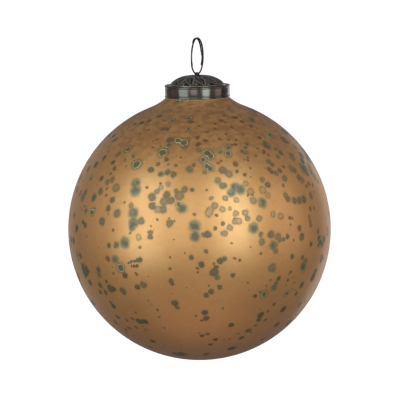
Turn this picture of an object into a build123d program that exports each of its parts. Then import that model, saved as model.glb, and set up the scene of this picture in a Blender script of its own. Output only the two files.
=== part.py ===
from build123d import *
from math import cos, pi, radians, sin
import os

# Hanging glass ball ornament: a hollow silvered ball, a stamped metal cap cemented
# on its neck, a wire eye that swivels in the cap and a split ring through the eye.
# Units are millimetres. Heights are taken from the ball's centre while modelling;
# the finished parts are shifted so that the origin is the hang point, the inside
# of the ring at its top. +Z is up, and the ring lies in the YZ plane.

# Glass ball and neck
BALL_R = 75.0
GLASS_WALL = 1.2
FLARE_ROOT_R = 27.0        # where the ball's curve turns into the flare
FLARE_R = 30.0             # long hollow curve between the ball and the cap
FLARE_TURN = 20.0          # degrees
NECK_BEND_R = 4.0          # short curve from the flare into the neck
NECK_TOP_Z = 81.0

# Cap, one sheet of stamped brass
SHEET = 0.5
FOOT_Z = 75.7
BEAD_R = 18.65             # rolled foot and top lip
BAND_R = 18.4
GROOVE_R = 18.15
GROOVE_Z = 77.0
STEP = 0.35                # from the groove out to the band
LIP_Z = 81.5
SHOULDER_Z = 82.6
SHOULDER_R = 18.0
DOME_BASE_R = 16.2
DOME_MID = (12.2, 85.9)
CREST_R = 5.0
CREST_Z = 88.0
HOLE_Z = 87.4              # the crest dips a little towards the hole
CEMENT_TOP_Z = 81.1

# Wire eye
EYE_WIRE_R = 0.35
EYE_ARCH_R = 1.0           # centre line of the arch
EYE_ARCH_Z = 88.55
LEG_BEND_R = 0.55
LEG_BEND_Z = HOLE_Z - SHEET - 0.05
LEG_SLOPE = 14.0           # degrees below level
LEG_RUN = 6.0
EYE_CLEARANCE = 0.05       # between the legs and the cap's hole

# Split ring, one and two-thirds turns of wire
RING_WIRE_R = 0.45
RING_R = 10.1              # centre line at the bottom, in the eye
RING_BOTTOM_Z = 88.65      # wire centre where the ring passes through the eye
LAYER_GAP = 0.96           # between the centre lines of the two layers
FIRST_END = 206.0          # angles in degrees, from +Y towards +Z
JOG_START = -38.0
JOG_END = -142.0
LAST_END = -395.0
TURN_STEP = 10.5
# The second layer lies inside the first at a lean of 0 and beside it at 90.
LEANS = [(218, 38), (180, 16), (140, 16), (105, 74), (22, 74), (-8, 12), (-36, 18)]

JOG_LEAN = radians(LEANS[0][1])
FIRST_R = RING_R + LAYER_GAP / 2 * cos(JOG_LEAN)
FIRST_X = LAYER_GAP / 2 * sin(JOG_LEAN)
RING_CENTRE_Z = RING_BOTTOM_Z + RING_R
TOP_LEAN = radians(74)
HANG_Z = RING_CENTRE_Z + FIRST_R - LAYER_GAP * cos(TOP_LEAN) - RING_WIRE_R
HOLE_R = EYE_ARCH_R + EYE_WIRE_R + EYE_CLEARANCE


def glass_outline(inset):
    """Half outline from the bottom pole to the neck's top, set in by inset."""
    radius = BALL_R - inset
    root_r = FLARE_ROOT_R * radius / BALL_R
    root = (root_r, (radius**2 - root_r**2) ** 0.5)
    belly = ThreePointArc((0, -radius), (radius, 0), root)
    flare = JernArc(belly @ 1, belly % 1, FLARE_R + inset, -FLARE_TURN)
    turn_to_upright = Vector(0, 1).get_angle(flare % 1)
    bend = JernArc(flare @ 1, flare % 1, NECK_BEND_R + inset, -turn_to_upright)
    neck = Line(bend @ 1, ((bend @ 1).X, NECK_TOP_Z))
    return [belly, flare, bend, neck]


def revolved(outline):
    """A closed outline in the XZ plane, turned about the Z axis."""
    return revolve(Plane.XZ * make_face(outline), Axis.Z)


def make_glass_ball():
    outside = glass_outline(0)
    inside = glass_outline(GLASS_WALL)
    lip_crown = (outside[-1] @ 1 + inside[-1] @ 1) / 2 + Vector(0, GLASS_WALL / 2)
    lip = ThreePointArc(outside[-1] @ 1, lip_crown, inside[-1] @ 1)
    pole = Line(inside[0] @ 0, outside[0] @ 0)
    return revolved(outside + inside + [lip, pole])


def cap_outside():
    """The sheet's outer side, from the foot over the dome to the hole."""
    bead_mid = (BEAD_R, (FOOT_Z + GROOVE_Z) / 2)
    foot = ThreePointArc((BAND_R, FOOT_Z), bead_mid, (GROOVE_R, GROOVE_Z))
    step = Line(foot @ 1, (BAND_R, GROOVE_Z + STEP))
    band = Line(step @ 1, (BAND_R, LIP_Z))
    lip = ThreePointArc(band @ 1, (BEAD_R, (LIP_Z + SHOULDER_Z) / 2), (SHOULDER_R, SHOULDER_Z))
    shoulder = Line(lip @ 1, (DOME_BASE_R, SHOULDER_Z))
    dome = ThreePointArc(shoulder @ 1, DOME_MID, (CREST_R, CREST_Z))
    dip = Line(dome @ 1, (HOLE_R, HOLE_Z))
    return [foot, step, band, lip, shoulder, dome, dip]


def cap_inside():
    """The sheet's inner side, a plain skirt and dome one sheet further in."""
    under_shoulder = SHOULDER_Z - SHEET
    diagonal = SHEET * cos(radians(45))
    skirt = Line((BAND_R - SHEET, FOOT_Z), (BAND_R - SHEET, under_shoulder))
    shoulder = Line(skirt @ 1, (DOME_BASE_R - SHEET, under_shoulder))
    dome_mid = (DOME_MID[0] - diagonal, DOME_MID[1] - diagonal)
    dome = ThreePointArc(shoulder @ 1, dome_mid, (CREST_R, CREST_Z - SHEET))
    dip = Line(dome @ 1, (HOLE_R, HOLE_Z - SHEET))
    return [skirt, shoulder, dome, dip]


def make_cap():
    outside = cap_outside()
    inside = cap_inside()
    foot_edge = Line(outside[0] @ 0, inside[0] @ 0)
    hole_wall = Line(outside[-1] @ 1, inside[-1] @ 1)
    return revolved(outside + inside + [foot_edge, hole_wall])


def make_cap_cement():
    """Hard cement that fills the gap between the neck and the cap's skirt."""
    bend = glass_outline(0)[2]
    skirt_r = BAND_R - SHEET
    neck = Line(bend @ 1, ((bend @ 1).X, CEMENT_TOP_Z))
    top = Line(neck @ 1, (skirt_r, CEMENT_TOP_Z))
    skirt = Line(top @ 1, (skirt_r, FOOT_Z))
    bottom = Line(skirt @ 1, bend @ 0)
    return revolved([bend, neck, top, skirt, bottom])


def make_hanger_eye():
    """A wire arch whose two legs pass through the cap and spread under its dome."""
    arch = RadiusArc((-EYE_ARCH_R, EYE_ARCH_Z), (EYE_ARCH_R, EYE_ARCH_Z), EYE_ARCH_R)
    leg = Line(arch @ 1, (EYE_ARCH_R, LEG_BEND_Z))
    bend = JernArc(leg @ 1, leg % 1, LEG_BEND_R, 90 - LEG_SLOPE)
    run = Line(bend @ 1, bend @ 1 + (bend % 1) * LEG_RUN)
    half = Wire([leg, bend, run])
    path = Plane.XZ * Wire([arch] + half.edges() + mirror(half, Plane.YZ).edges())
    return sweep(Plane(path @ 0, z_dir=path % 0) * Circle(EYE_WIRE_R), path=path)


def eased(share):
    return (1 - cos(pi * share)) / 2


def layer_lean(angle):
    """How far the second layer has turned from inside the first to beside it."""
    if angle >= LEANS[0][0]:
        return JOG_LEAN
    for (start, lean), (end, next_lean) in zip(LEANS, LEANS[1:]):
        if angle >= end:
            share = eased((start - angle) / (start - end))
            return radians(lean + (next_lean - lean) * share)
    return radians(LEANS[-1][1])


def ring_point(angle, gap=0, lean=0):
    radius = FIRST_R - gap * cos(lean)
    turn = radians(angle)
    x = FIRST_X - gap * sin(lean)
    return Vector(x, radius * cos(turn), RING_CENTRE_Z + radius * sin(turn))


def make_split_ring():
    """A flat first layer, a jog across the bottom and a second layer close to it."""
    middle = (FIRST_END + JOG_START) / 2
    first = ThreePointArc(ring_point(FIRST_END), ring_point(middle), ring_point(JOG_START))
    second_points = []
    for step in range(int((JOG_START - LAST_END) / TURN_STEP) + 1):
        angle = JOG_START - step * TURN_STEP
        jog_share = min(1, (JOG_START - angle) / (JOG_START - JOG_END))
        gap = LAYER_GAP * eased(jog_share)
        second_points.append(ring_point(angle, gap, layer_lean(angle + 360)))
    last_tangent = Vector(0, sin(radians(LAST_END)), -cos(radians(LAST_END)))
    second = Spline(second_points, tangents=[first % 1, last_tangent])
    path = Wire([first, second])
    start = Plane(path @ 0, z_dir=path % 0)
    return sweep(start * Circle(RING_WIRE_R), path=path, is_frenet=True)


PARTS = {
    "glass_ball": make_glass_ball,
    "cap": make_cap,
    "cap_cement": make_cap_cement,
    "hanger_eye": make_hanger_eye,
    "split_ring": make_split_ring,
}

os.makedirs("parts", exist_ok=True)
for name, make in PARTS.items():
    part = Pos(0, 0, -HANG_Z) * make()
    export_step(part, f"parts/{name}.step")
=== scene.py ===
import math
import random

import bmesh
import bpy
import numpy as np
from mathutils import Matrix, Vector


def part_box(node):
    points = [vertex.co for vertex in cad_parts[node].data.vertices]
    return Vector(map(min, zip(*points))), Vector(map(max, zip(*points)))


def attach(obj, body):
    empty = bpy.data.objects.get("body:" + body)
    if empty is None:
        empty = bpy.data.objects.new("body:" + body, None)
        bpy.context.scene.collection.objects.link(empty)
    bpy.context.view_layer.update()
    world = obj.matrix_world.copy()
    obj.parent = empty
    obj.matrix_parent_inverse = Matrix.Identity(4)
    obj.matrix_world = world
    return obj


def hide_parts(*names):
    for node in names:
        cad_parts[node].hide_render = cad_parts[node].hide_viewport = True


# Hanging glass ball ornament, in metres. The origin is the hang point, the ball
# hangs below it, and the ring lies in the YZ plane.

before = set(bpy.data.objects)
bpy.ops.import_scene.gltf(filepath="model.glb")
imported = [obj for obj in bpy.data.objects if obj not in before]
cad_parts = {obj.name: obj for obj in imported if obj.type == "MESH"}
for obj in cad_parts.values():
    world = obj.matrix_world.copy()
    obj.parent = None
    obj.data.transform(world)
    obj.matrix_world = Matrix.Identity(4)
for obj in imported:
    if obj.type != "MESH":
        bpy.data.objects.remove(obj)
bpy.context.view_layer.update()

MM = 0.001
WELD = 1e-7


# ---------------------------------------------------------------- sizes from the frame

def box_of(name):
    low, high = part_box(name)
    return Vector(low), Vector(high)


BALL_LOW, BALL_HIGH = box_of("glass_ball")
CAP_LOW, _ = box_of("cap")
BALL_R = (BALL_HIGH.x - BALL_LOW.x) / 2
CENTRE = Vector((0, 0, BALL_LOW.z + BALL_R))

# The camera looks from a little to the right of the ring's edge and from above.
VIEW_AZIMUTH = math.radians(18.3)
VIEW_ELEVATION = math.radians(7)
VIEW_ROLL = math.radians(0.9)
VIEW_DISTANCE = 1.8
BALL_IN_FRAME = 0.3283      # the ball's radius as a share of the picture's width
AIM_UP = 0.2195             # from the ball's centre, in ball radii
AIM_RIGHT = 0.0038          # likewise


def view_axes():
    """Right, up and back directions of the camera."""
    azimuth = VIEW_AZIMUTH
    elevation = VIEW_ELEVATION
    back = Vector((math.sin(azimuth) * math.cos(elevation),
                   -math.cos(azimuth) * math.cos(elevation),
                   math.sin(elevation)))
    level_right = Vector((math.cos(azimuth), math.sin(azimuth), 0))
    level_up = back.cross(level_right)
    roll = Matrix.Rotation(-VIEW_ROLL, 3, back)
    return roll @ level_right, roll @ level_up, back


RIGHT, UP, BACK = view_axes()


# ---------------------------------------------------------------- node helpers

def node(tree, kind, inputs=None, **settings):
    made = tree.nodes.new(kind)
    for key, value in settings.items():
        setattr(made, key, value)
    for key, value in (inputs or {}).items():
        if isinstance(value, bpy.types.NodeSocket):
            tree.links.new(value, made.inputs[key])
        else:
            made.inputs[key].default_value = value
    return made


def maths(tree, operation, *values):
    return node(tree, "ShaderNodeMath", dict(enumerate(values)), operation=operation).outputs[0]


def vectors(tree, operation, inputs, output=0):
    return node(tree, "ShaderNodeVectorMath", inputs, operation=operation).outputs[output]


def scaled(tree, vector, factor):
    return vectors(tree, "SCALE", {0: vector, "Scale": factor})


def stored(tree, name, output):
    """A value stored on the mesh."""
    return node(tree, "ShaderNodeAttribute", attribute_name=name).outputs[output]


def height_of(tree, place):
    return node(tree, "ShaderNodeSeparateXYZ", {0: place}).outputs["Z"]


def bumped(tree, height, strength, depth):
    inputs = {"Height": height, "Strength": strength, "Distance": depth}
    return node(tree, "ShaderNodeBump", inputs).outputs[0]


def ramp(tree, value, low, high, start=0.0, end=1.0):
    """Smooth step of value between low and high."""
    inputs = {"Value": value, "From Min": low, "From Max": high, "To Min": start, "To Max": end}
    made = node(tree, "ShaderNodeMapRange", inputs, interpolation_type="SMOOTHSTEP")
    return made.outputs["Result"]


def hump(tree, value, low, peak, high):
    """One at the peak, falling smoothly to nothing at low and high."""
    rise = ramp(tree, value, low, peak)
    fall = ramp(tree, value, peak, high, 1.0, 0.0)
    return maths(tree, "MULTIPLY", rise, fall)


def mix(tree, factor, first, second, blend="MIX"):
    inputs = {0: factor, 6: first, 7: second}
    return node(tree, "ShaderNodeMix", inputs, data_type="RGBA", blend_type=blend).outputs[2]


def tinted(tree, base, tint):
    return mix(tree, 1.0, base, tint, blend="MULTIPLY")


def noise(tree, place, wavelength, detail=3.0, roughness=0.5, output=0):
    inputs = {"Vector": place, "Scale": 1 / wavelength, "Detail": detail, "Roughness": roughness}
    return node(tree, "ShaderNodeTexNoise", inputs).outputs[output]


def colour(red, green, blue):
    """Linear colour from display values of 0 to 255."""
    def linear(value):
        share = value / 255
        return share / 12.92 if share <= 0.04045 else ((share + 0.055) / 1.055) ** 2.4
    return (linear(red), linear(green), linear(blue), 1.0)


def new_material(name):
    material = bpy.data.materials.new(name)
    material.use_nodes = True
    tree = material.node_tree
    surface = tree.nodes["Principled BSDF"]
    place = node(tree, "ShaderNodeTexCoord").outputs["Object"]
    return material, tree, surface, place


def plug(tree, surface, **inputs):
    """Links or values for the Principled shader's sockets, by name."""
    for key, value in inputs.items():
        socket = surface.inputs[key.replace("_", " ")]
        if isinstance(value, bpy.types.NodeSocket):
            tree.links.new(value, socket)
        else:
            socket.default_value = value


# ---------------------------------------------------------------- patina spots

# Each spot is (degrees right, degrees up, radius in mm), as seen facing the ball.
RINGED = [
    (-27, 69.6, 1.5), (-21, 69.8, 1.6), (-38, 76, 2.3), (-21, 54.5, 1.8), (-8, 56, 1.8),
    (-7, 48, 1.7), (-59, 42, 1.7), (-41.5, 36.7, 2.2), (-35.5, 32.8, 1.4), (-32, 28.8, 2.9),
    (-17, 38.6, 1.9), (-19.2, 34.7, 2.8), (-12, 41.2, 2.3), (-8.7, 40, 2.5), (3.8, 34.4, 2.4),
    (5.6, 33, 2.2), (1.6, 31, 2.0), (3.4, 28, 1.9), (5, 26.8, 2.0), (14.8, 34, 2.1),
    (15.3, 37.3, 1.5), (10.7, 35, 1.4), (48, 45, 2.2), (-59, 8, 2.0), (-53.5, 7.4, 2.0),
    (-61.5, 22.5, 1.6), (-9, 10.8, 1.7), (-37.3, -16.3, 2.7), (33, -28.6, 2.2), (47.5, -28.4, 1.8),
    (-69, -11.5, 2.0), (-52, 8.8, 1.0), (54.5, -17.5, 1.5),
]
TEAL = [
    (-18, 24, 1.7), (-15, 25, 1.7), (-30, 20, 2.6), (-29.5, 16.8, 3.0), (-7.5, 9.2, 2.7),
    (-29, 3.2, 2.8), (-29.3, 7.2, 2.9), (-29.7, 1, 1.8), (14, 15.8, 2.3), (18.3, 17.2, 2.6),
    (16, 18.2, 2.6), (-2, 1.7, 2.9), (-1.9, -2.6, 2.5), (-33.5, -5.3, 2.8), (23.3, 0.9, 2.7),
    (-39.6, -12.6, 2.1), (37.6, -25.3, 1.9), (38.2, -23.2, 1.6), (28, 11.5, 2.5),
    (-52, -17.4, 1.8), (-52.3, -19.6, 1.6), (40, 39, 2.6), (33.2, -6.5, 2.4), (-34, 58, 1.6),
    (-54, 13.8, 2.0), (-64, 14, 2.2), (-62.5, 16, 1.6), (61.5, 27, 3.4), (10.7, -12.2, 1.4),
    (8, -20.3, 1.5), (53.5, -16, 2.4), (-38, -6.3, 1.6), (67, 34, 2.6), (27, 39.3, 1.3),
]
GREY = [
    (-12, 24, 1.8), (-23.5, 26.2, 1.8), (-4.8, 26.3, 2.1), (-40.5, 18, 2.5), (-46.8, 20.6, 1.7),
    (-44, 21.8, 1.7), (-41.3, 12.8, 1.9), (-43, 9.2, 1.7), (-37.7, 7, 2.4), (-19, 16.3, 1.6),
    (-21, 13.9, 2.3), (-20.6, 10, 2.0), (-14.3, 14.9, 2.1), (-15.3, 12, 2.3), (-15.7, 8.6, 2.1),
    (-12.3, 12.5, 1.9), (-10.4, 16.8, 1.3), (-8.8, 14.5, 2.6), (-6.5, 17.2, 1.9),
    (-30.7, 10.3, 1.6), (-25.4, 3.7, 2.1), (-50, 16.5, 1.9), (-46.2, 3.5, 2.3), (11, 26, 2.2),
    (13.6, 24.4, 2.2), (8.3, 21.2, 1.9), (10.6, 18.8, 2.1), (24.5, 34.7, 1.7), (25.2, 37.5, 1.1),
    (32.3, 19.3, 1.8), (29.8, 21.7, 1.5), (36.5, 30.3, 1.6), (38, 28.8, 1.3), (35.2, 26.6, 1.5),
    (36.2, 25.2, 1.4), (38.6, 24.6, 1.6), (41.5, 26, 1.5), (43, 22.4, 1.8), (50, 27, 2.1),
    (52.2, 26.2, 1.8), (55.5, 32.8, 2.4), (45, 36.6, 1.2), (47.5, 34.8, 1.7), (44, 32.8, 1.1),
    (53.5, 22.7, 1.9), (55.5, 21.5, 1.5), (62.8, 24.8, 1.8), (66, 38, 2.0), (61, 41, 1.5),
    (41.3, 14.8, 1.7), (42.3, 13.4, 1.8), (46, 12.5, 1.9), (49.4, 12.5, 2.0), (52.8, 13, 2.0),
    (59.3, 14.6, 1.7), (3.5, -1.9, 2.0), (1.8, -2, 1.2), (-21, -1, 1.5), (-21.3, -2.9, 1.5),
    (-12.8, 2.7, 1.9), (31.8, -1.9, 2.1), (35.3, -2.7, 2.1), (36.3, -4.3, 1.3), (26.8, -2, 1.6),
    (27.3, -4.9, 1.8), (34.6, -8.8, 1.6), (38.4, -4.2, 1.3), (49.5, -3, 2.1), (47.8, 0.6, 1.7),
    (34, -16.3, 2.5), (54, -13.8, 1.8), (55, 5.4, 1.2), (55.5, 3.5, 1.3), (56, 1.8, 1.3),
    (-8, 37.5, 1.7), (-6.5, 42, 1.5), (-6, 53, 1.5), (-24, 48, 1.5), (-21.5, 48, 1.2),
    (-17, 41.6, 1.7), (-0.5, 36, 1.6), (-47, 34, 1.7), (2.5, 25, 1.2), (-70, 27, 1.9),
    (-75, 17.5, 1.9), (73, 21, 1.5), (66, -34.5, 1.9), (-62, -44.5, 1.7),
]
HOLLOW = [
    (21.2, 19.8, 1.8), (23, 16.4, 2.2), (29, 17, 2.2), (31.4, 14.6, 1.8), (11.2, 13.4, 1.6),
    (16, 12.6, 1.6), (23.8, 12.4, 2.0), (6.5, 10.3, 1.8), (4, 7.2, 2.2), (4.9, 8.8, 1.8),
    (9.7, 8.8, 1.6), (13, 9.2, 1.1), (15.6, 6.9, 1.6), (19.8, 7.2, 1.8), (20.8, 4.9, 1.5),
    (15.2, 3.7, 1.7), (16.9, 3.6, 1.7), (26, 4.8, 1.8), (33, 6.6, 1.7), (37, 5.7, 1.9),
    (-26.6, -3.2, 1.7), (10.4, -1.3, 1.8), (12.9, 1, 1.8), (-18, 8.6, 2.0), (-17.4, 18, 1.5),
    (-14, 19.6, 1.4), (5, 13.5, 1.3),
]
OLIVE = [
    (-52, 22.4, 1.6), (-48, 30, 1.4), (-45, 27, 1.5), (-44, -12.4, 1.8), (-35.8, -19.6, 1.7),
    (-42.5, -6.5, 1.4), (-32.5, -14, 0.8), (-31, -13.7, 0.9), (-29.4, -13.3, 1.0),
    (-27.9, -12.9, 1.2), (-26.5, -12.7, 1.3), (-31.3, -15.5, 0.7), (-29.8, -15.4, 0.9),
    (-28.4, -15.3, 1.0), (-12.8, -16.5, 1.0), (-13, -22, 1.4), (-12.7, -23.4, 1.2),
    (-3.5, -11.6, 1.5), (9, -13, 1.9), (1, -14.7, 1.7), (6.4, -18, 2.5), (7.3, -15.8, 1.4),
    (15, -19.5, 1.4), (9.5, -24.8, 1.4), (3.2, -28.7, 1.5), (5.6, -27, 1.5), (44.5, -11.5, 1.6),
    (38.9, -21.2, 1.5), (28, -29.4, 1.2), (57, -24.5, 1.9), (55.5, -28.7, 1.3), (-30.3, -25, 1.9),
    (-26.8, -24, 1.9), (-39.5, -27, 2.2), (-47.5, -26, 2.4), (-45.2, -26.2, 1.6),
    (-54.5, -24.5, 1.9), (-57, -28, 1.4), (-52.5, -28, 1.6), (-12.4, -32.8, 2.0),
    (-11.6, -34.8, 1.4), (-51.5, -35, 1.8), (-52, -33, 1.3), (-38, -43, 2.0), (-35.8, -43.2, 1.6),
    (-33.6, -43, 2.0), (2.8, -37.8, 1.8), (3.8, -40.8, 1.7), (19.5, -45, 1.7), (33.5, -48.7, 1.7),
    (36, -39.5, 2.1), (36.5, -42, 1.5), (51, -36.4, 2.0), (56, -45.5, 1.8), (32, -54, 1.5),
    (12, -55, 1.5), (1.8, -52, 1.4), (5.4, -50.8, 1.2), (9, -59, 1.3), (-40, -57, 1.8),
    (-72, -5, 2.0), (-65.5, -11.5, 1.7), (62.5, -1, 1.6), (63.5, -4, 1.7), (64, -6.5, 1.4),
    (56.5, -6.3, 1.5), (68, -6.5, 1.6), (40.5, -3, 1.4), (-46, 53, 1.5), (-40, 54, 1.3),
    (-52, 52, 1.2), (-58.5, 2, 1.7), (-60.5, 3, 1.3), (-67, 0.5, 2.0), (-71.5, 6, 1.5),
    (-62.5, 29, 1.9), (-57.5, 32.6, 1.5), (-62, -16.5, 1.5), (-63.5, -23.5, 1.9), (29, 56.5, 1.5),
    (64, 31, 2.0), (-48.5, -22.5, 1.0),
]
RUST = [
    (-34.5, 48, 1.0), (-20.5, 29, 1.3), (-16.5, 31, 1.4), (-11.5, 28.4, 1.0), (-1, 43, 1.2),
    (-0.6, 39, 1.4), (-2.7, 28.5, 1.1), (5, 46.3, 1.1), (3.4, 41, 1.1), (11.7, 42, 1.3),
    (16, 45, 0.8), (16.8, 41.4, 0.8), (21.3, 41.7, 0.9), (20, 39, 1.2), (17.6, 29, 1.6),
    (17.8, 25.4, 1.0), (9.2, 29.3, 1.0), (21.5, 24, 1.0), (24.5, 31, 0.9), (25, 32.3, 0.7),
    (22.7, 35.5, 1.1), (30, 33, 0.9), (25, 27, 0.8), (37.8, 43, 1.1), (36, 35.4, 1.4),
    (32.5, 37, 0.8), (22, 49.5, 1.2), (37, 50.5, 1.0), (32.5, 53.5, 1.2), (16.5, 54.3, 1.2),
    (10.8, 51.7, 0.8), (10, 48.6, 0.9), (-0.6, 50.5, 1.0), (27, 45, 0.8), (38, 33.5, 0.9),
    (44.7, 27.6, 0.9), (40.8, 19, 1.1), (60.5, 20, 1.2), (64, 19.3, 1.0), (57.5, 18.5, 0.9),
    (56.7, 9, 1.2), (60, 9.2, 1.0), (-40.3, 31.2, 0.7), (-37.8, 28, 0.6), (-46.3, 24.3, 0.8),
    (-45.5, 14.7, 1.0), (-46.2, 17.7, 0.8), (-39.7, 0, 0.9), (-24, 18.2, 0.9), (-17.7, 20, 0.8),
    (-3.2, 17.2, 1.2), (-2.3, 6.7, 1.0), (-18, 4.3, 0.8), (-12.8, 5, 0.7), (-30.7, -1.3, 0.8),
    (-26.3, -7.3, 0.9), (3.3, 17, 0.8), (9.9, 2.8, 1.1), (6.6, 0.6, 1.2), (7.2, 6.2, 0.8),
    (2.7, -9, 1.2), (-0.8, -16.3, 0.9), (-0.8, -18.2, 0.7), (6.2, -14.3, 0.9), (15.3, -12, 0.8),
    (17.8, -12.8, 0.8), (-2, -39.5, 0.8), (42, 5, 1.0), (43.5, 5, 0.8), (42.3, 2, 0.7),
    (27.3, -9.7, 0.8), (51.7, -12, 1.2), (45.3, -18.3, 0.9), (45, -22, 0.9), (41.5, -33.7, 1.2),
    (39.7, -37.5, 1.0), (41.5, -42.3, 1.1), (36.5, -45.5, 1.0), (-29.5, -19, 1.1), (-54, -41, 1.4),
    (-42, -41.5, 1.1), (-47.5, -42.7, 1.0), (-51.5, -47.7, 1.3), (-44, -47, 1.2),
]
CHOSEN = {"ringed": RINGED, "teal": TEAL, "grey": GREY, "hollow": HOLLOW, "olive": OLIVE,
          "rust": RUST}
# How teal (or, below nothing, how rusty), how ringed and how hollow each kind is.
LOOKS = {
    "ringed": (0.35, 1.0, 0.0),
    "teal": (0.9, 0.12, 0.15),
    "grey": (0.3, 0.0, 0.35),
    "hollow": (0.1, 0.0, 0.85),
    "olive": (0.1, 0.0, 0.0),
    "rust": (-0.8, 0.0, 0.0),
}
SCATTER_SEED = 23
CLUSTERS = 330
CLUSTER_SIZES = [1, 1, 2, 2, 3, 4]
CLUSTER_STEP = (0.5, 2.2)  # from spot to spot, in spot radii
CLUSTER_RADII = (1.2, 2.8)  # mm
RUST_DOTS = 420
DOT_RADII = (0.3, 0.8)     # mm
# Heights from the ball's centre in ball radii.
CLUSTER_POLE = 0.9
DOT_POLE = 0.95
RINGED_ABOVE = 0.45
OLIVE_BELOW = -0.1
CHOSEN_SIDE = 0.42         # cosine from the line of sight; chosen spots fill that side
LOOK_SPREAD = 0.2
SLOTS = 4                  # nearest spots kept for each face
FACE_BATCH = 4000
REACH = 1.7                # a spot shows out to this many radii
SPOT_JOIN = 9.0            # higher keeps touching spots more apart
LEAST_WEIGHT = 1e-9
FACE_REACH = 2.2 * MM      # half a face's diagonal and the edge's wander
NOWHERE = (0.0, 0.0, 9.0)
NO_RADIUS = 1e-6


def facing(right_degrees, up_degrees):
    """Direction from the ball's centre, by angles seen from the camera's side."""
    right = math.radians(right_degrees)
    up = math.radians(up_degrees)
    level = RIGHT * math.sin(right) + BACK * math.cos(right)
    return level * math.cos(up) + UP * math.sin(up)


def chosen_spots():
    spots = []
    for kind, places in CHOSEN.items():
        for right, up, radius in places:
            spots.append((facing(right, up), radius * MM, LOOKS[kind]))
    return spots


def random_direction(draw):
    height = draw.uniform(-1, 1)
    turn = draw.uniform(0, math.tau)
    level = math.sqrt(1 - height * height)
    return Vector((level * math.cos(turn), level * math.sin(turn), height))


def kind_at(height, draw):
    """Ringed spots near the cap, grey and hollow ones round the middle, olive below."""
    if height > RINGED_ABOVE:
        return draw.choice(["ringed", "ringed", "grey", "olive"])
    if height > OLIVE_BELOW:
        return draw.choice(["grey", "grey", "hollow", "hollow", "teal", "ringed"])
    return draw.choice(["olive", "olive", "olive", "grey", "teal"])


def clustered_spots(draw):
    """Loose clusters of spots over the part of the ball that has no chosen spots."""
    spots = []
    for _ in range(CLUSTERS):
        middle = random_direction(draw)
        if abs(middle.z) > CLUSTER_POLE or middle.dot(BACK) > CHOSEN_SIDE:
            continue
        kind = kind_at(middle.z, draw)
        for _ in range(draw.choice(CLUSTER_SIZES)):
            radius = draw.uniform(*CLUSTER_RADII) * MM
            step = random_direction(draw) * draw.uniform(*CLUSTER_STEP) * radius / BALL_R
            spots.append((middle + step, radius, LOOKS[kind]))
            middle = middle + step
    return spots


def rust_dots(draw):
    spots = []
    for _ in range(RUST_DOTS):
        direction = random_direction(draw)
        if abs(direction.z) < DOT_POLE:
            spots.append((direction, draw.uniform(*DOT_RADII) * MM, LOOKS["rust"]))
    return spots


def varied(look, draw):
    """A look made a little more or less teal and hollow than its kind."""
    teal, ringed, hollow = look
    teal += draw.uniform(-LOOK_SPREAD, LOOK_SPREAD)
    hollow += draw.uniform(-LOOK_SPREAD, LOOK_SPREAD)
    return teal, ringed, hollow


def all_spots(outline):
    """Every spot's centre on the glass, its radius and its look."""
    draw = random.Random(SCATTER_SEED)
    slopes = [math.atan2(height - CENTRE.z, radius) for radius, height in outline]
    reaches = [math.hypot(height - CENTRE.z, radius) for radius, height in outline]
    spots = []
    for direction, radius, look in chosen_spots() + clustered_spots(draw) + rust_dots(draw):
        toward = direction.normalized()
        reach = np.interp(math.asin(toward.z), slopes, reaches)
        spots.append((CENTRE + toward * float(reach), radius, varied(look, draw)))
    return spots


def store_spots(mesh, spots):
    """Give each face its nearest spots, for the material to draw as true circles."""
    centres = np.array([centre for centre, _, _ in spots] + [NOWHERE])
    radii = np.array([radius for _, radius, _ in spots] + [NO_RADIUS])
    looks = np.array([look for _, _, look in spots] + [(0.0, 0.0, 0.0)])
    face_count = len(mesh.polygons)
    middles = np.empty(face_count * 3)
    mesh.polygons.foreach_get("center", middles)
    middles = middles.reshape(-1, 3)
    nearest = np.empty((face_count, SLOTS), dtype=int)
    for start in range(0, face_count, FACE_BATCH):
        batch = slice(start, start + FACE_BATCH)
        apart = np.linalg.norm(middles[batch, None, :] - centres[None, :, :], axis=2)
        gap = apart - radii * REACH
        nearest[batch] = np.argsort(gap, axis=1)[:, :SLOTS]
        slot_gaps = np.take_along_axis(gap, nearest[batch], axis=1)
        nearest[batch][slot_gaps > FACE_REACH] = len(spots)
    for slot in range(SLOTS):
        place = mesh.attributes.new(f"spot_centre_{slot}", "FLOAT_VECTOR", "FACE")
        place.data.foreach_set("vector", centres[nearest[:, slot]].ravel())
        look = mesh.attributes.new(f"spot_look_{slot}", "FLOAT_VECTOR", "FACE")
        look.data.foreach_set("vector", looks[nearest[:, slot]].ravel())
    size = mesh.attributes.new("spot_radii", "FLOAT_COLOR", "FACE")
    size.data.foreach_set("color", radii[nearest].ravel())


# ---------------------------------------------------------------- meshes

def lathe(name, outline, turns, closed, offset=None):
    """A mesh turned about the Z axis from (radius, height) points."""
    points = []
    for row, (radius, height) in enumerate(outline):
        for step in range(turns):
            angle = math.tau * step / turns
            shift_r, shift_z = offset(row, angle) if offset else (0, 0)
            reach = radius + shift_r
            points.append((reach * math.cos(angle), reach * math.sin(angle), height + shift_z))
    faces = []
    rows = len(outline)
    for row in range(rows if closed else rows - 1):
        following = (row + 1) % rows
        for step in range(turns):
            beside = (step + 1) % turns
            faces.append((row * turns + step, row * turns + beside,
                          following * turns + beside, following * turns + step))
    return new_piece(name, points, faces)


def new_piece(name, points, faces):
    mesh = bpy.data.meshes.new(name)
    mesh.from_pydata(points, [], faces)
    work = bmesh.new()
    work.from_mesh(mesh)
    bmesh.ops.remove_doubles(work, verts=work.verts, dist=WELD)
    bmesh.ops.recalc_face_normals(work, faces=work.faces)
    for face in work.faces:
        face.smooth = True
    work.to_mesh(mesh)
    work.free()
    piece = bpy.data.objects.new(name, mesh)
    bpy.context.scene.collection.objects.link(piece)
    return piece


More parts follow.
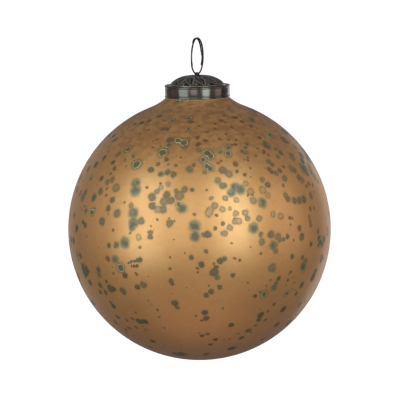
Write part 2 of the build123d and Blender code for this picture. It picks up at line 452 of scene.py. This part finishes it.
class Pen:
    """Draws an outline of (radius, height) points by straight runs and tangent arcs."""

    def __init__(self, start, heading):
        self.points = [start]
        self.heading = heading

    def arc(self, radius, turn, steps):
        side = 1 if turn > 0 else -1
        start = math.radians(self.heading)
        here = self.points[-1]
        middle = (here[0] - side * radius * math.sin(start),
                  here[1] + side * radius * math.cos(start))
        for step in range(1, steps + 1):
            angle = start + math.radians(turn) * step / steps
            self.points.append((middle[0] + side * radius * math.sin(angle),
                                middle[1] - side * radius * math.cos(angle)))
        self.heading += turn

    def run(self, length, steps=1):
        here = self.points[-1]
        angle = math.radians(self.heading)
        for step in range(1, steps + 1):
            reach = length * step / steps
            self.points.append((here[0] + reach * math.cos(angle),
                                here[1] + reach * math.sin(angle)))


# ---------------------------------------------------------------- glass ball

GLASS_WALL = 1.2 * MM
FLARE_ROOT = math.asin(27 / 75)    # where the ball's curve turns into the flare
FLARE_R = 30 * MM
FLARE_TURN = 20                    # degrees
NECK_BEND_R = 4 * MM
BELLY_STEPS = 116
FLARE_STEPS = 10
BEND_STEPS = 6
BALL_TURNS = 240


def glass_side(inset):
    """Outline from the bottom pole to the neck's top, set in by inset."""
    pen = Pen((0.0, CENTRE.z - BALL_R + inset), 0)
    belly_turn = 180 - math.degrees(FLARE_ROOT)
    pen.arc(BALL_R - inset, belly_turn, BELLY_STEPS)
    pen.arc(FLARE_R + inset, -FLARE_TURN, FLARE_STEPS)
    pen.arc(NECK_BEND_R + inset, 90 - pen.heading, BEND_STEPS)
    pen.run(BALL_HIGH.z - GLASS_WALL / 2 - pen.points[-1][1], 2)
    return pen


def make_ball():
    outside = glass_side(0)
    inside = glass_side(GLASS_WALL)
    outside.arc(GLASS_WALL / 2, 180, BEND_STEPS)
    outline = outside.points[:-1] + inside.points[::-1]
    ball = lathe("glass_ball_skin", outline, BALL_TURNS, closed=False)
    store_spots(ball.data, all_spots(glass_side(0).points))
    return ball


def spot_field(tree, place):
    """Distance from the nearest spots in spot radii, and their blended look."""
    sizes = node(tree, "ShaderNodeAttribute", attribute_name="spot_radii")
    split = node(tree, "ShaderNodeSeparateColor", {0: sizes.outputs["Color"]})
    radii = [split.outputs[0], split.outputs[1], split.outputs[2], sizes.outputs["Alpha"]]
    total = 0.0
    blend = (0.0, 0.0, 0.0)
    for slot, radius in enumerate(radii):
        centre = stored(tree, f"spot_centre_{slot}", "Vector")
        look = stored(tree, f"spot_look_{slot}", "Vector")
        away = vectors(tree, "DISTANCE", {0: place, 1: centre}, output="Value")
        share = maths(tree, "DIVIDE", away, radius)
        weight = maths(tree, "EXPONENT", maths(tree, "MULTIPLY", share, -SPOT_JOIN))
        total = maths(tree, "ADD", total, weight)
        blend = vectors(tree, "ADD", {0: blend, 1: scaled(tree, look, weight)})
    total = maths(tree, "MAXIMUM", total, LEAST_WEIGHT)
    nearness = maths(tree, "LOGARITHM", total, math.e)
    distance = maths(tree, "DIVIDE", nearness, -SPOT_JOIN)
    mean = scaled(tree, blend, maths(tree, "DIVIDE", 1.0, total))
    teal, ringed, hollow = node(tree, "ShaderNodeSeparateXYZ", {0: mean}).outputs
    return distance, (teal, ringed, hollow)


def wandered(tree, place, wavelength, amount):
    """The place moved a little by noise, for uneven outlines."""
    drift = noise(tree, place, wavelength, detail=2.0, output=1)
    centred = vectors(tree, "SUBTRACT", {0: drift, 1: (0.5, 0.5, 0.5)})
    return vectors(tree, "ADD", {0: place, 1: scaled(tree, centred, amount)})


COPPER = (0.60, 0.302, 0.110, 1)
COPPER_GOLDEN = (0.65, 0.338, 0.130, 1)
COPPER_BLUSH = (0.56, 0.25, 0.11, 1)
COPPER_SMEAR = (0.37, 0.165, 0.076, 1)
COPPER_GRAIN = (0.45, 0.222, 0.082, 1)
METAL = 0.6
ROUGH = 0.43

# Each tint multiplies the copper under it.
CLEAR = (1, 1, 1, 1)
HALO = (0.52, 0.62, 0.64, 1)
GREY_BODY = (0.20, 0.25, 0.30, 1)
HOLLOW_BODY = (0.84, 0.87, 0.92, 1)
TEAL_BODY = (0.15, 0.29, 0.50, 1)
RUST_BODY = (0.46, 0.36, 0.28, 1)
MOTTLE = (0.17, 0.25, 0.30, 1)
BLOOM = (0.50, 0.62, 0.72, 1)
GREY_RIM = (0.14, 0.17, 0.18, 1)
HOLLOW_RIM = (0.27, 0.32, 0.38, 1)
TEAL_RIM = (0.30, 0.54, 0.74, 1)
RINGED_CORE = (0.22, 0.33, 0.34, 1)
PALE_RING = (0.88, 1.6, 2.3, 1)


def copper_base(tree, place, grain):
    """Brushed-on copper, redder and more golden by turns, with dark smears near the top."""
    clouds = ramp(tree, noise(tree, place, 22 * MM, detail=4.0), 0.3, 0.7)
    copper = mix(tree, clouds, COPPER, COPPER_GOLDEN)
    blush = ramp(tree, noise(tree, place, 6 * MM, detail=3.0), 0.5, 0.8)
    copper = mix(tree, maths(tree, "MULTIPLY", blush, 0.5), copper, COPPER_BLUSH)
    squat = vectors(tree, "MULTIPLY", {0: place, 1: (0.4, 0.4, 0.7)})
    smears = ramp(tree, noise(tree, squat, 1.6 * MM, detail=4.0), 0.35, 0.65)
    smear_low = CENTRE.z + 0.4 * BALL_R
    smear_high = CENTRE.z + 0.9 * BALL_R
    high = ramp(tree, height_of(tree, place), smear_low, smear_high, 0.08, 0.8)
    copper = mix(tree, maths(tree, "MULTIPLY", smears, high), copper, COPPER_SMEAR)
    return mix(tree, maths(tree, "MULTIPLY", grain, 0.18), copper, COPPER_GRAIN)


def patina_tint(tree, place, distance, look):
    """Tint of a spot from its middle out to its rim."""
    teal, ringed, hollow = look
    body = mix(tree, hollow, GREY_BODY, HOLLOW_BODY)
    body = mix(tree, teal, body, TEAL_BODY)
    rusty = maths(tree, "MULTIPLY", teal, -1.0)
    body = mix(tree, rusty, body, RUST_BODY)

    mottle = ramp(tree, noise(tree, place, 1.6 * MM, detail=3.0), 0.42, 0.62, 0.0, 0.55)
    solid = maths(tree, "SUBTRACT", 1.0, hollow)
    body = mix(tree, maths(tree, "MULTIPLY", mottle, solid), body, MOTTLE)
    bloom = ramp(tree, noise(tree, place, 2.4 * MM, detail=2.0), 0.45, 0.62, 0.0, 0.6)
    pale = maths(tree, "MULTIPLY", bloom, maths(tree, "MAXIMUM", teal, hollow))
    body = mix(tree, pale, body, BLOOM)

    rim_tint = mix(tree, hollow, GREY_RIM, HOLLOW_RIM)
    rim_tint = mix(tree, teal, rim_tint, TEAL_RIM)
    rim = hump(tree, distance, 0.6, 0.88, 1.1)
    body = mix(tree, maths(tree, "MULTIPLY", rim, 0.85), body, rim_tint)
    core = ramp(tree, distance, 0.5, 0.72, 0.9, 0.0)
    body = mix(tree, maths(tree, "MULTIPLY", core, ringed), body, RINGED_CORE)
    pale_ring = maths(tree, "MULTIPLY", hump(tree, distance, 0.66, 0.83, 0.97), ringed)
    return mix(tree, maths(tree, "MULTIPLY", pale_ring, 0.9), body, PALE_RING)


def copper_material():
    """Satin copper under lacquer, eaten into by rings and blots of patina."""
    material, tree, surface, place = new_material("speckled_copper")
    grain = ramp(tree, noise(tree, place, 1.1 * MM, detail=3.0), 0.25, 0.75)
    copper = copper_base(tree, place, grain)

    rough_place = wandered(tree, place, 3.0 * MM, 1.9 * MM)
    edge_place = wandered(tree, rough_place, 1.0 * MM, 0.7 * MM)
    distance, look = spot_field(tree, edge_place)
    teal, ringed, _ = look
    cover = ramp(tree, distance, 0.8, 1.16, 1.0, 0.0)
    stained = maths(tree, "MULTIPLY", maths(tree, "MAXIMUM", ringed, teal), 0.5)
    spread = maths(tree, "ADD", 0.4, stained)
    halo = maths(tree, "MULTIPLY", ramp(tree, distance, 0.95, 1.65, 1.0, 0.0), spread)
    tint = mix(tree, halo, CLEAR, HALO)
    tint = mix(tree, cover, tint, patina_tint(tree, rough_place, distance, look))

    metal = maths(tree, "SUBTRACT", METAL, maths(tree, "MULTIPLY", cover, 0.4))
    rough = maths(tree, "ADD", ROUGH, maths(tree, "MULTIPLY", cover, 0.1))
    rough = maths(tree, "ADD", rough, maths(tree, "MULTIPLY", grain, 0.04))
    fine = maths(tree, "MULTIPLY", grain, 0.1)
    relief = maths(tree, "ADD", maths(tree, "MULTIPLY", cover, 0.6), fine)
    plug(tree, surface, Base_Color=tinted(tree, copper, tint), Metallic=metal, Roughness=rough,
         Normal=bumped(tree, relief, 0.25, 0.06 * MM),
         Coat_Weight=0.35, Coat_Roughness=0.3, Coat_IOR=1.5)
    return material


# ---------------------------------------------------------------- cap

SHEET = 0.5 * MM
BEAD_R = 18.65 * MM        # foot and lip
GROOVE_R = 18.15 * MM
BAND_R = 18.4 * MM
BAND_BOW = 0.1 * MM
LIP_TOP_R = 18.0 * MM
DOME_BASE_R = 16.2 * MM
DOME_MID_R = 12.2 * MM
UNDER_MID_R = 11.85 * MM
CREST_R = 5.0 * MM
DIP_R = 3.3 * MM
HOLE_R = 1.4 * MM
# Heights in mm above the cap's foot.
BEAD_UP = 0.65
GROOVE_UP = 1.3
BAND_UPS = (1.65, 1.85, 2.7, 3.7, 4.7, 5.6, 5.8)
BAND_MIDDLE_UP = 3.7
BAND_HALF = 2.1
LIP_UP = 6.35
SHOULDER_UP = 6.9
UNDER_MID_UP = 9.85
DOME_MID_UP = 10.2
HOLE_UP = 11.7
DIP_UP = 12.02
CREST_UP = 12.3
DULL_FROM_UP = 6.85        # the band's gloss gives way to the dome's finish
DULL_WHOLE_UP = 7.1
CAP_TURNS = 360
ROLL_STEPS = 8
DOME_ROWS = 90
UNDER_ROWS = 24

RELIEF_DEPTH = 0.45 * MM
OUTER_LEAVES = 12
# Number of leaves, start and end radius, turn in leaves and swirl in radians.
INNER_ROW = (10, 2.6 * MM, 8.8 * MM, 0.5, 0.5)
OUTER_ROW = (OUTER_LEAVES, 6.4 * MM, 15.0 * MM, 0.0, -0.35)
PETAL_RIM = 0.14           # line widths in half-leaves
PETAL_VEIN = 0.1
VEIN_RUN = (0.12, 0.85)    # along the leaf
SCROLL_MIDDLE_R = 13.2 * MM
SCROLL_REACH = 2.2         # mm, as are the next two
SCROLL_PITCH = 0.9
SCROLL_LINE = 0.17
ROPE_R = 15.6 * MM
ROPE_WIDTH = 0.3 * MM


def through(first, second, third, steps):
    """Points on the circle through three points of the (radius, height) plane."""
    (ax, ay), (bx, by), (cx, cy) = first, second, third
    twice = 2 * (ax * (by - cy) + bx * (cy - ay) + cx * (ay - by))
    sums = [ax * ax + ay * ay, bx * bx + by * by, cx * cx + cy * cy]
    middle_x = (sums[0] * (by - cy) + sums[1] * (cy - ay) + sums[2] * (ay - by)) / twice
    middle_y = (sums[0] * (cx - bx) + sums[1] * (ax - cx) + sums[2] * (bx - ax)) / twice
    radius = math.hypot(ax - middle_x, ay - middle_y)
    start = math.atan2(ay - middle_y, ax - middle_x)
    end = math.atan2(cy - middle_y, cx - middle_x)
    points = []
    for step in range(steps + 1):
        angle = start + (end - start) * step / steps
        points.append((middle_x + radius * math.cos(angle), middle_y + radius * math.sin(angle)))
    return points


def up_cap(height_mm):
    """Height in the frame of a height counted in mm from the cap's foot."""
    return CAP_LOW.z + height_mm * MM


def cap_side():
    """Outer side of the cap from the foot to the hole, and where the dome's rows lie."""
    foot = through((BAND_R, up_cap(0)), (BEAD_R, up_cap(BEAD_UP)),
                   (GROOVE_R, up_cap(GROOVE_UP)), ROLL_STEPS)
    band = [(BAND_R - BAND_BOW * ((up - BAND_MIDDLE_UP) / BAND_HALF) ** 2, up_cap(up))
            for up in BAND_UPS]
    lip = through(band[-1], (BEAD_R, up_cap(LIP_UP)), (LIP_TOP_R, up_cap(SHOULDER_UP)),
                  ROLL_STEPS)
    dome = through((DOME_BASE_R, up_cap(SHOULDER_UP)), (DOME_MID_R, up_cap(DOME_MID_UP)),
                   (CREST_R, up_cap(CREST_UP)), DOME_ROWS)
    dip = [(DIP_R, up_cap(DIP_UP)), (HOLE_R, up_cap(HOLE_UP))]
    outline = foot + band[:-1] + lip + dome + dip
    dome_start = len(foot) + len(band) - 1 + len(lip)
    return outline, dome_start


def cap_underside():
    """Inner side of the cap from the foot to the hole."""
    under = up_cap(SHOULDER_UP) - SHEET
    skirt_r = BAND_R - SHEET
    dome = through((DOME_BASE_R - SHEET, under), (UNDER_MID_R, up_cap(UNDER_MID_UP)),
                   (CREST_R, up_cap(CREST_UP) - SHEET), UNDER_ROWS)
    return [(skirt_r, up_cap(0)), (skirt_r, under)] + dome + [(HOLE_R, up_cap(HOLE_UP) - SHEET)]


def petal_row(radius, angle, count, start, end, turn, swirl):
    """Height from 0 to 1 of one ring of stamped leaves, swept round by swirl."""
    along = (radius - start) / (end - start)
    if not 0 < along < 1:
        return 0.0
    sector = ((angle + swirl * along) / math.tau * count + turn) % 1 * 2 - 1
    half_width = 0.9 * math.sin(math.pi * along ** 0.75) ** 0.7
    edge = abs(sector) - half_width
    body = 0.35 * min(1.0, max(0.0, -edge * 5))
    rim = math.exp(-(edge / PETAL_RIM) ** 2)
    on_vein = VEIN_RUN[0] < along < VEIN_RUN[1]
    vein = math.exp(-(sector / PETAL_VEIN) ** 2) if on_vein else 0.0
    return max(body, rim, 0.9 * vein)


def scrolls(radius, angle):
    """Small curled tendrils between the outer leaves."""
    best = 0.0
    for leaf in range(OUTER_LEAVES):
        middle = math.tau * (leaf + 0.5) / OUTER_LEAVES
        across = math.remainder(angle - middle, math.tau) * radius
        up = radius - SCROLL_MIDDLE_R
        away = math.hypot(across, up) / MM
        if away < SCROLL_REACH:
            curl = math.atan2(up, across) / math.tau
            ring = (away - SCROLL_PITCH * curl) % SCROLL_PITCH - SCROLL_PITCH / 2
            best = max(best, math.exp(-(ring / SCROLL_LINE) ** 2))
    return best


def dome_relief(radius, angle):
    """Height from 0 to 1 of the whole stamping."""
    inner = petal_row(radius, angle, *INNER_ROW)
    outer = petal_row(radius, angle, *OUTER_ROW)
    rope = 0.8 * math.exp(-((radius - ROPE_R) / ROPE_WIDTH) ** 2)
    return max(inner, outer * 0.9, 0.9 * scrolls(radius, angle), rope)


def make_cap():
    outside, dome_start = cap_side()
    outline = outside + cap_underside()[::-1]
    dome_end = dome_start + DOME_ROWS

    def stamped(row, angle):
        if not dome_start < row < dome_end:
            return 0, 0
        radius = outline[row][0]
        return 0, -RELIEF_DEPTH * (1 - dome_relief(radius, angle))

    cap = lathe("cap_shell", outline, CAP_TURNS, closed=True, offset=stamped)
    store_relief(cap.data)
    return cap


def store_relief(mesh):
    """How high each vertex stands in the stamping, for the dome's rubbed tones with painted
    highlight on the raised parts, and its dirty low parts.
    """
    heights = []
    for vertex in mesh.vertices:
        radius = math.hypot(vertex.co.x, vertex.co.y)
        angle = math.atan2(vertex.co.y, vertex.co.x)
        heights.append(dome_relief(radius, angle))
    relief = mesh.attributes.new("relief", "FLOAT", "POINT")
    relief.data.foreach_set("value", heights)


def cap_material():
    """Dark lacquered brass with a smooth band and a duller dome, its raised stamping paler from
    rubbed wear and painted highlight.
    """
    material, tree, surface, place = new_material("antiqued_brass")
    stain = ramp(tree, noise(tree, place, 5 * MM, detail=4.0), 0.35, 0.7)
    pits = noise(tree, place, 0.7 * MM, detail=3.0)
    on_dome = ramp(tree, height_of(tree, place), up_cap(DULL_FROM_UP), up_cap(DULL_WHOLE_UP))
    raised = ramp(tree, stored(tree, "relief", "Fac"), 0.3, 0.95)
    # Raised stamping is mixed toward the pale dome colour below: part rubbed wear, part painted
    # highlight where the ridges catch light.
    rubbed_and_highlit = maths(tree, "MULTIPLY", raised, ramp(tree, pits, 0.3, 0.6, 0.55, 1.0))
    band = mix(tree, stain, colour(46, 35, 22), colour(60, 51, 42))
    dome = mix(tree, rubbed_and_highlit, colour(45, 43, 35), colour(192, 186, 168))
    finish = mix(tree, on_dome, band, dome)
    rough = maths(tree, "ADD", 0.26, maths(tree, "MULTIPLY", on_dome, 0.12))
    rough = maths(tree, "ADD", rough, maths(tree, "MULTIPLY", stain, 0.06))
    metal = maths(tree, "ADD", 0.4, maths(tree, "MULTIPLY", on_dome, 0.4))
    plug(tree, surface, Base_Color=finish, Metallic=metal, Roughness=rough,
         Normal=bumped(tree, pits, 0.25, 0.05 * MM), Specular_Tint=(1.0, 0.82, 0.9, 1.0),
         Coat_Weight=1.0, Coat_Roughness=0.15, Coat_IOR=1.65)
    return material


# ---------------------------------------------------------------- wire and cement

def wire_material():
    """Blackened steel wire, rubbed brighter in places."""
    material, tree, surface, place = new_material("oxidised_wire")
    rub = ramp(tree, noise(tree, place, 2.5 * MM, detail=4.0), 0.45, 0.75)
    scratches = noise(tree, place, 0.3 * MM, detail=2.0)
    finish = mix(tree, rub, colour(34, 33, 31), colour(78, 76, 72))
    rough = maths(tree, "SUBTRACT", 0.42, maths(tree, "MULTIPLY", rub, 0.14))
    plug(tree, surface, Base_Color=finish, Metallic=0.9, Roughness=rough,
         Normal=bumped(tree, scratches, 0.3, 0.02 * MM))
    return material


def cement_material():
    """Pale hard cement, grainy and unpolished."""
    material, tree, surface, place = new_material("cap_cement")
    grit = noise(tree, place, 0.6 * MM, detail=4.0)
    finish = mix(tree, grit, colour(150, 140, 120), colour(186, 176, 156))
    plug(tree, surface, Base_Color=finish, Roughness=0.85,
         Normal=bumped(tree, grit, 0.5, 0.1 * MM))
    return material


def dress(piece, material):
    piece.data.materials.clear()
    piece.data.materials.append(material)


# ---------------------------------------------------------------- floor, light and camera

FLOOR_DROP = 0.30
FLOOR_HALF = 20.0
ROOM_AHEAD = (0.175, 0.125, 0.15, 1)
ROOM_BESIDE = (0.105, 0.075, 0.10, 1)
ROOM_BEHIND = (0.15, 0.16, 0.18, 1)
WHITE = (1, 1, 1, 1)
LIGHT_DISTANCE = 1.25
# Name, degrees right and up of the line of sight, width, height, watts and colour.
SOFTBOXES = [
    ("left_softbox", -51, 15, 0.82, 1.6, 11.5, (0.84, 1.0, 0.93)),
    ("right_softbox", 31, 17, 0.58, 1.42, 11.8, (0.82, 1.0, 0.92)),
    ("front_fill", -12, 13, 0.5, 0.9, 2.5, (0.95, 1.0, 0.88)),
    ("left_fill", -95, 10, 0.6, 1.0, 0.45, (1.0, 0.84, 0.74)),
    ("right_fill", 80, 10, 0.6, 1.0, 2.1, (1.0, 0.84, 0.74)),
    ("low_fill", 0, -76, 1.2, 1.0, 1.4, (1.0, 0.72, 0.55)),
    ("back_left", -152, -5, 0.5, 1.0, 0.5, (1.0, 0.95, 0.9)),
    ("back_right", 150, -5, 0.5, 1.0, 1.2, (1.0, 0.95, 0.9)),
]


def make_floor():
    """A plain pale floor well below the ball, lit evenly like the white backdrop."""
    level = BALL_LOW.z - FLOOR_DROP
    corners = [(-FLOOR_HALF, -FLOOR_HALF, level), (FLOOR_HALF, -FLOOR_HALF, level),
               (FLOOR_HALF, FLOOR_HALF, level), (-FLOOR_HALF, FLOOR_HALF, level)]
    floor = new_piece("floor", corners, [(0, 1, 2, 3)])
    material, tree, surface, place = new_material("pale_floor")
    grain = noise(tree, place, 0.05, detail=2.0)
    finish = mix(tree, grain, colour(246, 246, 246), colour(252, 252, 252))
    plug(tree, surface, Base_Color=finish, Roughness=0.9,
         Emission_Color=WHITE, Emission_Strength=1.0)
    dress(floor, material)
    floor.visible_glossy = False
    floor.visible_diffuse = False


def softbox(name, side_degrees, up_degrees, width, height, power, tint):
    """A tall soft light, placed by its angles from the camera's line of sight."""
    side = math.radians(side_degrees)
    up = math.radians(up_degrees)
    level_back = Vector((BACK.x, BACK.y, 0)).normalized()
    level_right = Vector((-level_back.y, level_back.x, 0))
    toward = (level_back * math.cos(side) + level_right * math.sin(side)) * math.cos(up)
    toward = toward + Vector((0, 0, math.sin(up)))
    lamp = bpy.data.lights.new(name, "AREA")
    lamp.shape = "RECTANGLE"
    lamp.size = width
    lamp.size_y = height
    lamp.energy = power
    lamp.color = tint
    stand = bpy.data.objects.new(name, lamp)
    bpy.context.scene.collection.objects.link(stand)
    stand.location = CENTRE + toward * LIGHT_DISTANCE
    stand.rotation_euler = toward.to_track_quat("Z", "Y").to_euler()


def make_surroundings():
    """A dim room round the set, white only where the camera sees it directly."""
    world = bpy.data.worlds.new("studio")
    world.use_nodes = True
    tree = world.node_tree
    direction = node(tree, "ShaderNodeTexCoord").outputs["Generated"]
    toward_set = vectors(tree, "DOT_PRODUCT", {0: direction, 1: tuple(BACK)}, output="Value")
    ahead = ramp(tree, toward_set, 0.0, 0.9)
    behind = ramp(tree, toward_set, -0.9, -0.2, 1.0, 0.0)
    room = mix(tree, ahead, ROOM_BESIDE, ROOM_AHEAD)
    room = mix(tree, behind, room, ROOM_BEHIND)
    seen = node(tree, "ShaderNodeLightPath").outputs["Is Camera Ray"]
    shown = mix(tree, seen, room, WHITE)
    tree.links.new(shown, tree.nodes["Background"].inputs["Color"])
    bpy.context.scene.world = world


def make_camera():
    camera = bpy.data.cameras.new("camera")
    holder = bpy.data.objects.new("camera", camera)
    bpy.context.scene.collection.objects.link(holder)
    aim = CENTRE + UP * (AIM_UP * BALL_R) + RIGHT * (AIM_RIGHT * BALL_R)
    place = Matrix((RIGHT, UP, BACK)).transposed().to_4x4()
    place.translation = aim + BACK * VIEW_DISTANCE
    holder.matrix_world = place
    tangent = math.tan(math.asin(BALL_R / VIEW_DISTANCE))
    camera.lens = camera.sensor_width * BALL_IN_FRAME / tangent
    camera.clip_start = 0.05
    bpy.context.scene.camera = holder


# ---------------------------------------------------------------- the object

def build():
    copper = copper_material()
    brass = cap_material()
    wire = wire_material()

    ball = make_ball()
    dress(ball, copper)
    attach(ball, "ball")
    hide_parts("glass_ball")

    cap = make_cap()
    dress(cap, brass)
    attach(cap, "ball")
    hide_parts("cap")

    dress(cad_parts["cap_cement"], cement_material())
    for wire_node in ("hanger_eye", "split_ring"):
        dress(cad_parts[wire_node], wire)
        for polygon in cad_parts[wire_node].data.polygons:
            polygon.use_smooth = True


build()
make_floor()
for box in SOFTBOXES:
    softbox(*box)
make_surroundings()
make_camera()
bpy.context.scene.view_settings.view_transform = "Standard"
